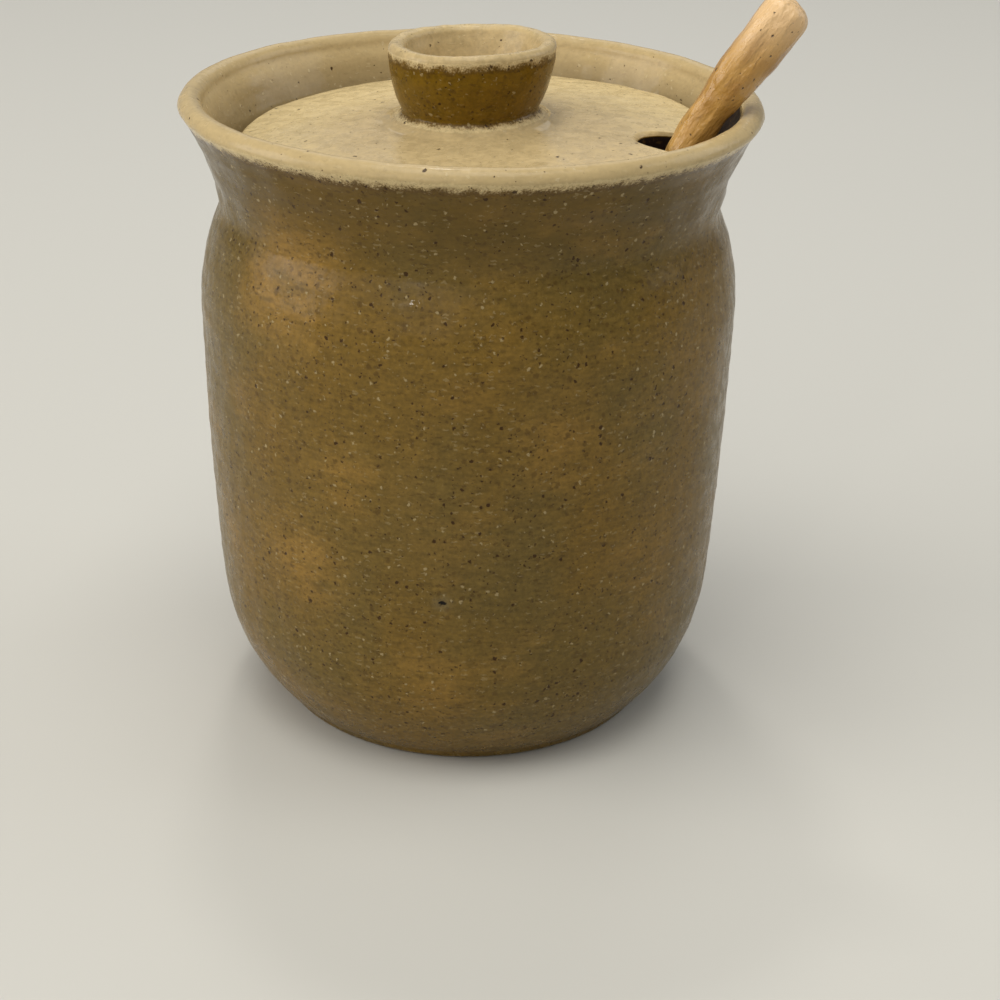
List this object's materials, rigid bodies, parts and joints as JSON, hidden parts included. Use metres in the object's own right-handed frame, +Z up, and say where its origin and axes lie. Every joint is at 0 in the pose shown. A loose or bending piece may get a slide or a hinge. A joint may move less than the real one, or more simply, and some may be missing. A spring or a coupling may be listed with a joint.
{
  "type": "condiment jar",
  "caption": "Speckled stoneware condiment jar with a flared collar, a notched drop-in lid with a cup-shaped knob, and a stirrer leaning on the lip.",
  "frame": {"origin": "centre of the jar's flat foot", "axes": "+Z up along the jar's axis, +X towards the side that the stirrer leans to, -Y towards the side the jar is looked at from"},
  "size_m": [0.1059, 0.1, 0.134],
  "materials": {
    "glazed_stoneware": "satin speckled glaze, olive brown on the body and sandy on the lid and lip",
    "stirrer_glaze": "glossy tan glaze with small dark specks"
  },
  "bodies": {
    "root": {"jar": "glazed_stoneware", "lid": "glazed_stoneware", "stirrer": "stirrer_glaze"}
  },
  "joints": []
}
